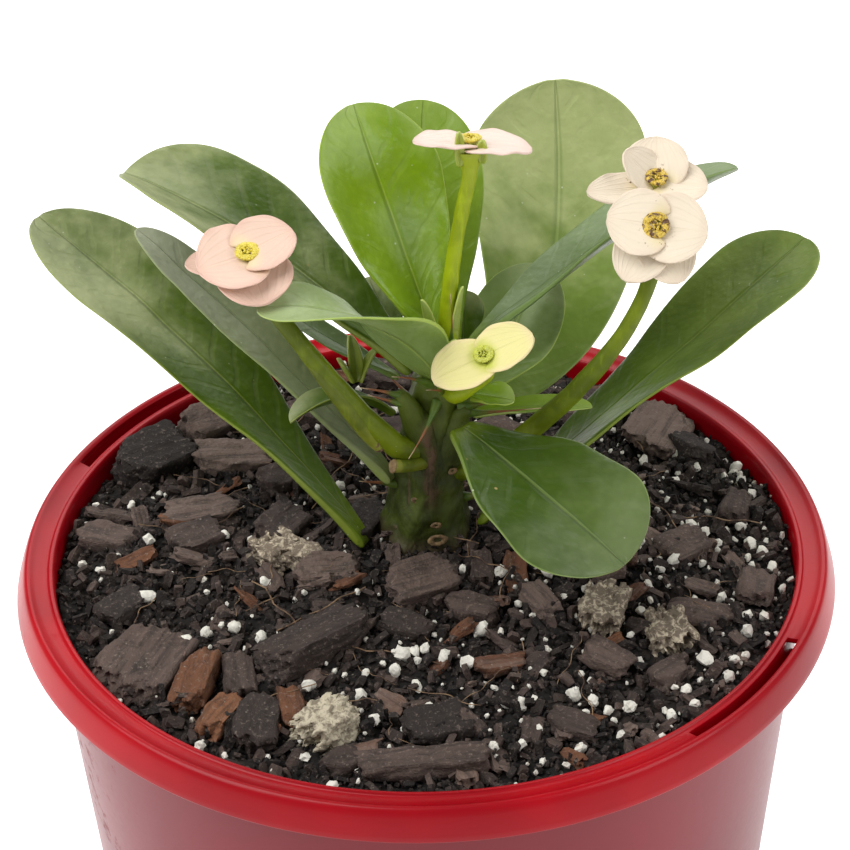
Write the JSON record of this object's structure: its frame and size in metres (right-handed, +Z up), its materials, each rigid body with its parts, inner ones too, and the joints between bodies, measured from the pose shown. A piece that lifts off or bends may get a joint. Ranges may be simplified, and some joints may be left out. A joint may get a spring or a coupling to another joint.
{
  "type": "potted flowering plant",
  "caption": "Thorny trunked euphorbia with broad spoon-shaped leaves and cream flowers, growing in bark mix in a round red nursery pot.",
  "frame": {"origin": "centre of the pot's flat base, on the surface that the pot stands on", "axes": "+Z up along the pot's axis, -Y the front from which the plant is seen, +X to the right"},
  "size_m": [0.143, 0.143, 0.2029],
  "materials": {
    "pot_plastic": "gloss",
    "potting_mix": "matte",
    "trunk": "satin",
    "leaf": "satin",
    "young_leaf": "satin",
    "flower_stalk": "satin",
    "flower_eye": "satin",
    "pink_bract": "matte",
    "cream_bract": "matte",
    "bark": "matte",
    "pumice": "matte"
  },
  "bodies": {
    "root": {"bract_front_left": "cream_bract", "bract_front_right": "cream_bract", "bract_left_under_front": "pink_bract", "bract_left_upper_left": "pink_bract", "bract_left_upper_right": "pink_bract", "bract_right_back_left": "cream_bract", "bract_right_back_right": "cream_bract", "bract_right_back_top": "cream_bract", "bract_right_front_left": "cream_bract", "bract_right_front_right": "cream_bract", "bract_right_front_under_left": "cream_bract", "bract_right_front_under_right": "cream_bract", "bract_top_left": "pink_bract", "bract_top_right": "pink_bract", "chip_broad": "bark", "chip_grey": "bark", "chip_left_flat": "bark", "chip_left_side": "bark", "chip_red_long": "bark", "chip_red_short": "bark", "chip_ridge": "bark", "chip_right_flat": "bark", "chip_speckled": "bark", "chip_strip": "bark", "chip_wedge": "bark", "eye_front": "flower_eye", "eye_left": "flower_eye", "eye_right_back": "flower_eye", "eye_right_front": "flower_eye", "eye_top": "flower_eye", "leaf_back_curled": "leaf", "leaf_back_small": "leaf", "leaf_back_tall": "leaf", "leaf_front_drooping": "leaf", "leaf_left_boat": "leaf", "leaf_left_high": "leaf", "leaf_left_inner": "leaf", "leaf_left_low": "leaf", "leaf_left_middle": "leaf", "leaf_right_inner": "leaf", "leaf_right_low": "leaf", "leaf_right_narrow": "leaf", "leaf_right_small": "leaf", "leaf_twisted": "young_leaf", "leaf_under_flower": "young_leaf", "leaf_upright_back": "leaf", "leaf_upright_front": "young_leaf", "pot": "pot_plastic", "potting_mix": "potting_mix", "pumice_lump": "pumice", "stalk_front": "flower_stalk", "stalk_left": "flower_stalk", "stalk_right": "flower_stalk", "stalk_right_fork": "flower_stalk", "stalk_top": "flower_stalk", "trunk": "trunk"}
  },
  "joints": []
}
